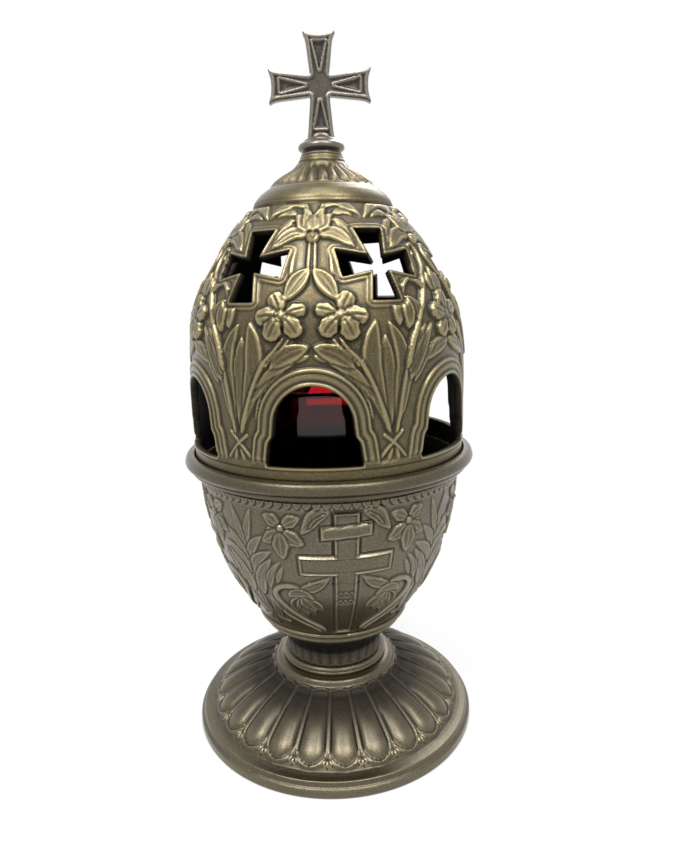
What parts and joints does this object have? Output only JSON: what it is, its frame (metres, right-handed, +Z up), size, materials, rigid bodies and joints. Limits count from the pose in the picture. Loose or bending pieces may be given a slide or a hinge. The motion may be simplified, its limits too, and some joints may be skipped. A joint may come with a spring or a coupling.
{
  "type": "vigil lamp",
  "caption": "Footed egg-shaped vigil lamp: cast bowl with rolled rim, pierced lift-off lid with cross finial, ruby glass cup and floating wick.",
  "frame": {"origin": "centre of the foot's underside, on the table", "axes": "+Z up along the lamp's axis, -Y towards the lid's front arch"},
  "size_m": [0.0994, 0.0994, 0.229],
  "materials": {
    "bronze": "antique bronze paint with a fine hammered speckle",
    "steel": "bright zinc-plated",
    "ruby_glass": "clear ruby red, polished",
    "cork": "raw cork",
    "brass": "satin",
    "cotton": "braided cotton"
  },
  "bodies": {
    "stand": {"foot": "bronze", "bowl": "bronze", "tie_bolt": "steel", "tie_washer": "steel", "tie_nut": "steel"},
    "cover": {"lid": "bronze", "finial_cross": "bronze", "finial_washer": "steel", "finial_nut": "steel"},
    "cup": {"glass_cup": "ruby_glass"},
    "float": {"float_cork": "cork", "float_plate": "brass", "wick_tube": "brass", "wick": "cotton"}
  },
  "joints": [
    {"name": "lid_lift", "type": "slide", "parent": "stand", "child": "cover", "axis": [0, 0, 1], "range_m": [0, 0.24]},
    {"name": "glass_lift", "type": "slide", "parent": "stand", "child": "cup", "axis": [0, 0, 1], "range_m": [0, 0.084]},
    {"name": "float_rise", "type": "slide", "parent": "cup", "child": "float", "axis": [0, 0, 1], "range_m": [0, 0.04]}
  ],
  "couplings": [
    {"joint": "glass_lift", "follows": "lid_lift", "ratio": 0.35}
  ]
}
